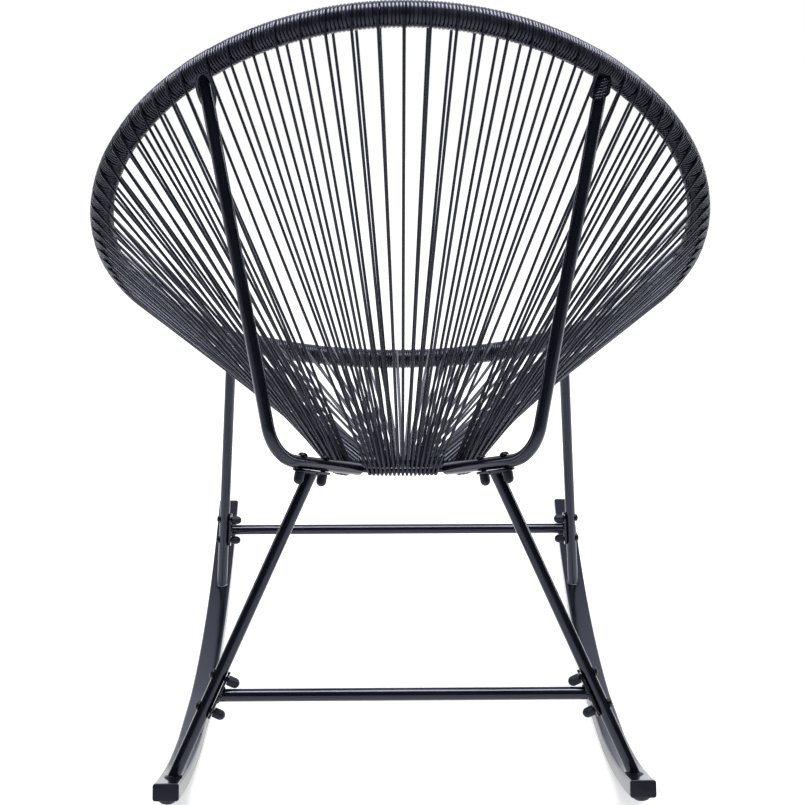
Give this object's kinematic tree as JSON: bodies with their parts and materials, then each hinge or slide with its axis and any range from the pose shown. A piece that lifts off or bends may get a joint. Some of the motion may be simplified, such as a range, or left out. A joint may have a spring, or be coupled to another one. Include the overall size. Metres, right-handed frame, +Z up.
{
  "type": "string rocking chair",
  "caption": "Round string lounge chair on curved rocker runners: a string-wound hoop with string spokes down to a small seat ring, carried by a bent tube frame.",
  "frame": {"origin": "on the floor, under the middle of the bounding box", "axes": "+Z up, the sitter looks along -Y, the chair's left side is +X"},
  "size_m": [0.7862, 0.8152, 0.935],
  "materials": {
    "powder_coat": "semi-gloss black powder coat",
    "string": "satin black plastic string",
    "moulded_plastic": "matt black moulded plastic",
    "fastener": "black-coated steel"
  },
  "bodies": {
    "root": {"back_tube_left": "powder_coat", "back_tube_right": "powder_coat", "bolt_front_bar_left_lower": "fastener", "bolt_front_bar_left_upper": "fastener", "bolt_front_bar_right_lower": "fastener", "bolt_front_bar_right_upper": "fastener", "bolt_front_saddle_left_front": "fastener", "bolt_front_saddle_left_rear": "fastener", "bolt_front_saddle_right_front": "fastener", "bolt_front_saddle_right_rear": "fastener", "bolt_rear_bar_left_lower": "fastener", "bolt_rear_bar_left_upper": "fastener", "bolt_rear_bar_right_lower": "fastener", "bolt_rear_bar_right_upper": "fastener", "bolt_rear_saddle_left_inner": "fastener", "bolt_rear_saddle_left_outer": "fastener", "bolt_rear_saddle_right_inner": "fastener", "bolt_rear_saddle_right_outer": "fastener", "cap_nut_front_bar_left_lower": "moulded_plastic", "cap_nut_front_bar_left_upper": "moulded_plastic", "cap_nut_front_bar_right_lower": "moulded_plastic", "cap_nut_front_bar_right_upper": "moulded_plastic", "cap_nut_front_saddle_left_front": "moulded_plastic", "cap_nut_front_saddle_left_rear": "moulded_plastic", "cap_nut_front_saddle_right_front": "moulded_plastic", "cap_nut_front_saddle_right_rear": "moulded_plastic", "cap_nut_rear_bar_left_lower": "moulded_plastic", "cap_nut_rear_bar_left_upper": "moulded_plastic", "cap_nut_rear_bar_right_lower": "moulded_plastic", "cap_nut_rear_bar_right_upper": "moulded_plastic", "cap_nut_rear_saddle_left_inner": "moulded_plastic", "cap_nut_rear_saddle_left_outer": "moulded_plastic", "cap_nut_rear_saddle_right_inner": "moulded_plastic", "cap_nut_rear_saddle_right_outer": "moulded_plastic", "crossbar_front": "powder_coat", "crossbar_rear": "powder_coat", "front_leg_left": "powder_coat", "front_leg_right": "powder_coat", "glide_left": "moulded_plastic", "glide_right": "moulded_plastic", "hoop_tube": "powder_coat", "plug_front_left": "moulded_plastic", "plug_front_right": "moulded_plastic", "plug_rear_left": "moulded_plastic", "plug_rear_right": "moulded_plastic", "rear_leg_left": "powder_coat", "rear_leg_right": "powder_coat", "rim_winding_back": "string", "rim_winding_front": "string", "rim_winding_left": "string", "rim_winding_right": "string", "runner_left": "powder_coat", "runner_right": "powder_coat", "seat_ring": "powder_coat", "strings_back": "string", "strings_front": "string", "strings_left": "string", "strings_right": "string"}
  },
  "joints": []
}
